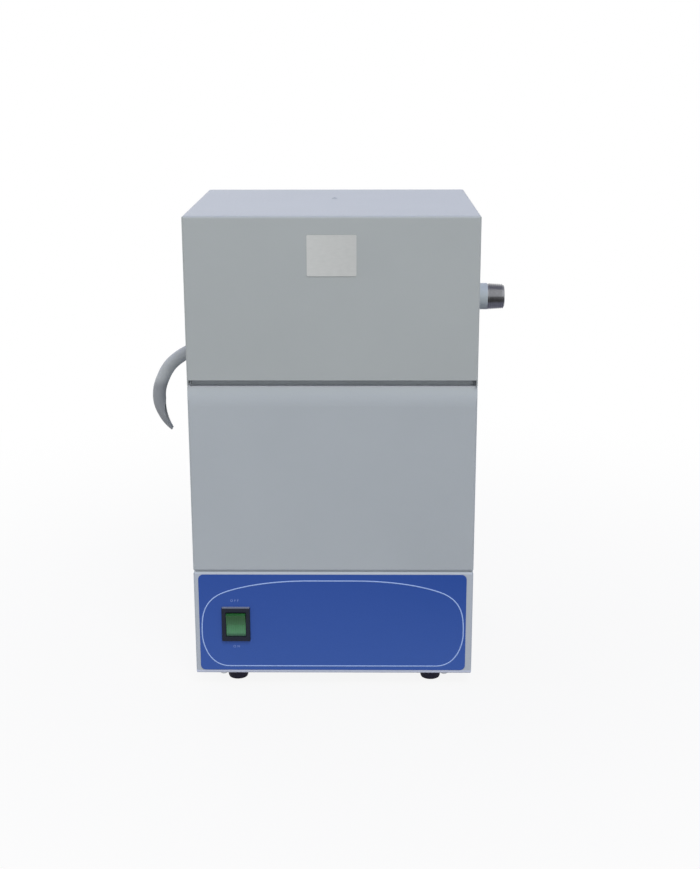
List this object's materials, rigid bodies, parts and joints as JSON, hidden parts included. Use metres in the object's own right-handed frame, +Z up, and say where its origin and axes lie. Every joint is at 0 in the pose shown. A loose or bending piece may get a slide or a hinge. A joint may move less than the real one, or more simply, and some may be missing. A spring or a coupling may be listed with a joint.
{
  "type": "bench water distiller",
  "caption": "Free-standing electric water still: painted sheet-metal cabinet with lift-off hood, rocker switch, threaded water inlet and soft distillate hose.",
  "frame": {"origin": "on the bench under the middle of the object's box, the hose left out", "axes": "+Z up, -Y to the front with the switch, +X to the side with the water inlet"},
  "size_m": [0.3206, 0.2398, 0.4192],
  "materials": {
    "casing_paint": "semi-gloss grey powder coat",
    "plate_aluminium": "brushed aluminium sheet",
    "overlay_film": "satin blue polyester film",
    "zinc_screws": "bright zinc plate",
    "foot_rubber": "matt moulded rubber",
    "black_nylon": "matt moulded nylon",
    "green_lens": "gloss tinted polycarbonate",
    "brass": "machined",
    "stainless": "brushed stainless steel",
    "seal_silicone": "moulded silicone",
    "sleeve_nylon": "natural nylon",
    "hose_silicone": "matt extruded silicone",
    "ceramic": "unglazed steatite"
  },
  "bodies": {
    "cabinet": {"base_tray": "casing_paint", "control_panel": "casing_paint", "deck_plate": "casing_paint", "mid_cover": "casing_paint", "rear_panel": "casing_paint", "left_cheek": "casing_paint", "right_cheek": "casing_paint", "hood_bridge": "casing_paint", "panel_overlay": "overlay_film", "panel_screws": "zinc_screws", "deck_screws": "zinc_screws", "rear_screws": "zinc_screws", "cheek_screws": "zinc_screws", "foot_screws": "zinc_screws", "foot_nuts": "zinc_screws", "flange_bolts": "zinc_screws", "flange_nuts": "zinc_screws", "rubber_feet": "foot_rubber", "hose_grommet": "foot_rubber", "overflow_grommet": "foot_rubber", "switch_body": "black_nylon", "dry_run_thermostat": "black_nylon", "cable_gland": "black_nylon", "gland_nut": "black_nylon", "switch_terminals": "brass", "inlet_locknut": "brass", "heater_plug": "brass", "heater_terminals": "brass", "terminal_screws": "brass", "earth_stud": "brass", "boiler_vessel": "stainless", "boiler_stand": "stainless", "condenser_bell": "stainless", "collector_tray": "stainless", "chimney_cap": "stainless", "cooling_coil": "stainless", "inlet_nipple": "stainless", "distillate_spout": "stainless", "coil_outlet_pipe": "stainless", "level_cup": "stainless", "level_feed_tube": "stainless", "overflow_pipe": "stainless", "heating_element": "stainless", "boiler_gasket": "seal_silicone", "heater_gasket": "seal_silicone", "inlet_sleeve": "sleeve_nylon", "distillate_hose": "hose_silicone", "terminal_block": "ceramic"},
    "hood": {"hood": "casing_paint", "hood_screw": "casing_paint", "hood_plate": "plate_aluminium"},
    "rocker": {"switch_rocker": "green_lens"}
  },
  "joints": [
    {"name": "hood_lift", "type": "slide", "parent": "cabinet", "child": "hood", "axis": [0, 0, 1], "range_m": [0, 0.15]},
    {"name": "rocker", "type": "hinge", "parent": "cabinet", "child": "rocker", "pos_m": [-0.10115, -0.11403, 0.0598], "axis": [1, 0, 0], "range_deg": [-20, 0]}
  ]
}
